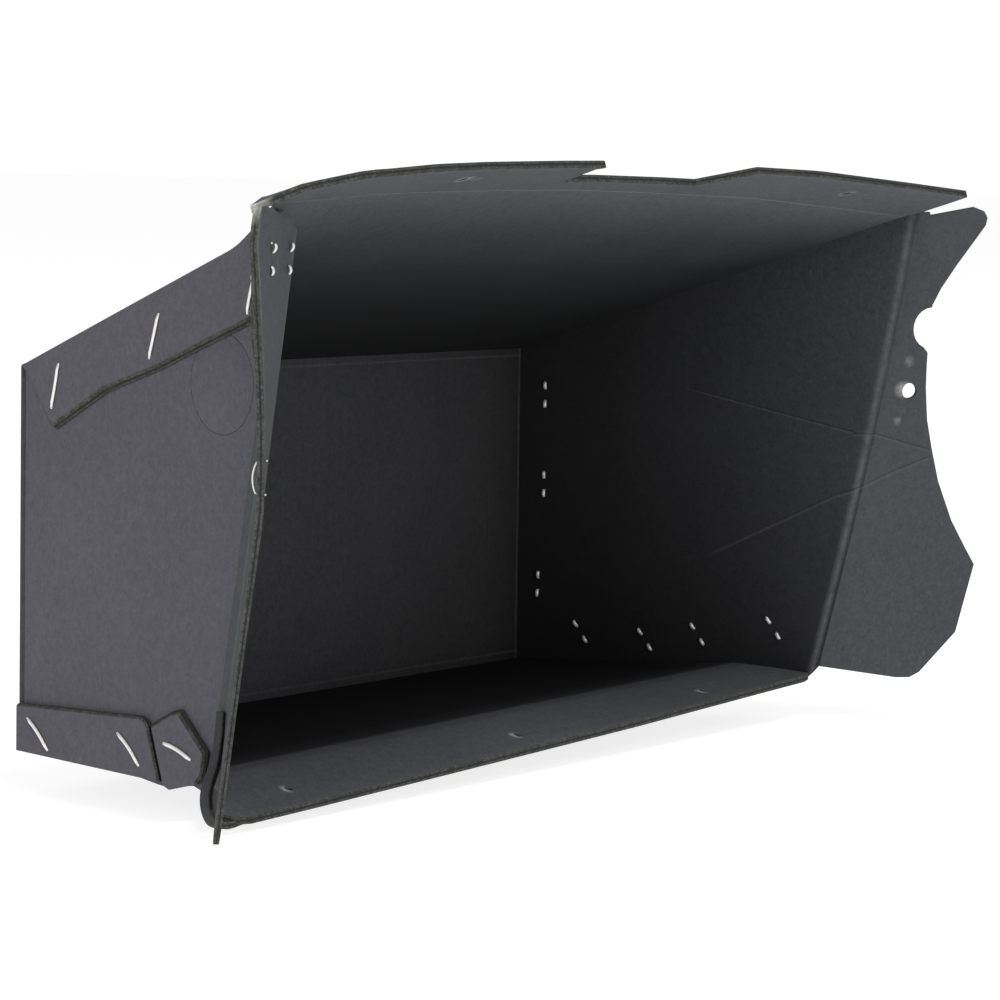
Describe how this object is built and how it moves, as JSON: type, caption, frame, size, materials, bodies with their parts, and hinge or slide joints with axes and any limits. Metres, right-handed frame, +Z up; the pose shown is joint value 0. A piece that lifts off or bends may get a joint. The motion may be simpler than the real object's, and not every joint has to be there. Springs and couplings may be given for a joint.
{
  "type": "glove box liner",
  "caption": "Open-fronted car glove box liner of dark folded fibreboard, flared towards the front, wire-stitched at its corners, with screw flanges around the mouth.",
  "frame": {"origin": "middle of the back panel's outer face", "axes": "+X across the car towards the liner's right as seen from its open front, -Y out of the opening, +Z up"},
  "size_m": [0.378, 0.1412, 0.1667],
  "materials": {
    "fibreboard": "matte",
    "staple_wire": "satin"
  },
  "bodies": {
    "liner": {"back_panel": "fibreboard", "top_panel": "fibreboard", "floor_panel": "fibreboard", "front_lip": "fibreboard", "lip_end_tab": "fibreboard", "left_side_panel": "fibreboard", "right_side_panel": "fibreboard", "knockout_disc": "fibreboard", "left_top_tab": "fibreboard", "right_top_tab": "fibreboard", "top_strip": "fibreboard", "left_flange": "fibreboard", "corner_ear": "fibreboard", "left_top_flap": "fibreboard", "left_rear_flap": "fibreboard", "left_front_flap": "fibreboard", "right_back_flap": "fibreboard", "right_floor_flap": "fibreboard", "left_top_staples": "staple_wire", "left_floor_staples": "staple_wire", "right_back_staples": "staple_wire", "right_floor_staples": "staple_wire", "ear_staples": "staple_wire", "flange_staple": "staple_wire"},
    "right_flange": {"right_flange": "fibreboard"}
  },
  "joints": [
    {"name": "right_flange_fold", "type": "hinge", "parent": "liner", "child": "right_flange", "pos_m": [0.16632, -0.1182, 0.0935], "axis": [0.0633, -0.1882, 0.9801], "range_deg": [-25, 45]}
  ]
}
